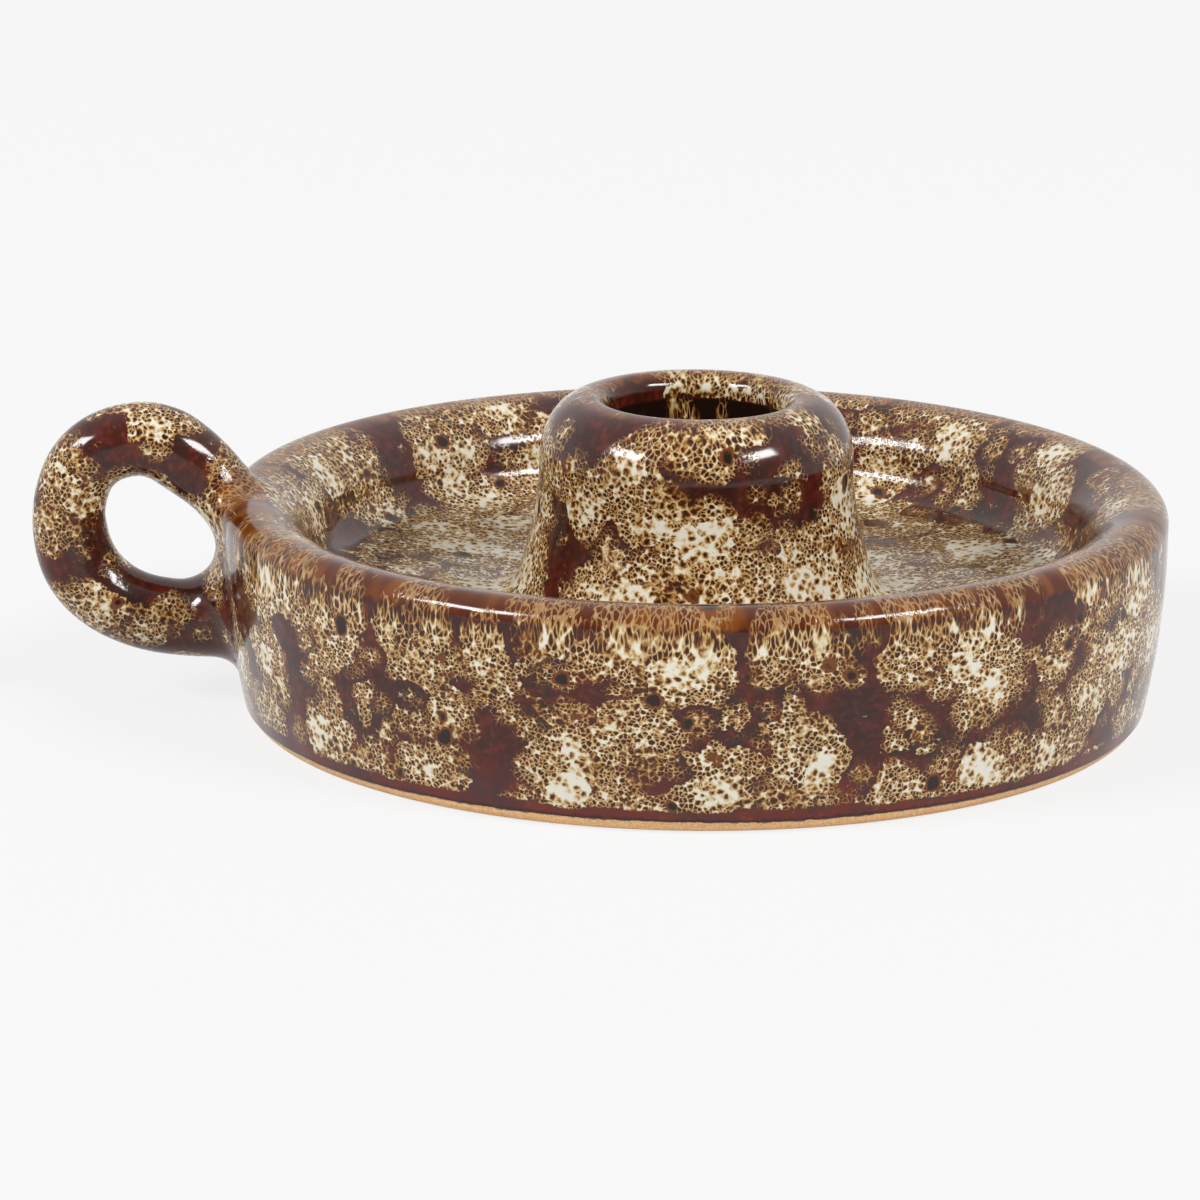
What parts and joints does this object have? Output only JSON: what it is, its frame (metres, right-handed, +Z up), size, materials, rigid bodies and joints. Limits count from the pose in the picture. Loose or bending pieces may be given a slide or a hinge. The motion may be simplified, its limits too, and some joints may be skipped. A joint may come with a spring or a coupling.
{
  "type": "chamberstick with finger loop",
  "caption": "Low round glazed dish with a bell-shaped candle socket rising from its floor and a round finger loop on its side, for carrying a lit candle.",
  "frame": {"origin": "on the dish's axis, in the plane of the foot ring that it rests on", "axes": "+Z up along the candle's axis, the finger loop stands out along -X, so X is the longest way across"},
  "size_m": [0.1446, 0.12, 0.0408],
  "materials": {
    "reactive_glaze": "glossy maroon-brown glaze mottled with cream, breaking to rust at the edges, over tan stoneware"
  },
  "bodies": {
    "root": {"dish": "reactive_glaze", "candle_socket": "reactive_glaze", "finger_loop": "reactive_glaze"}
  },
  "joints": []
}
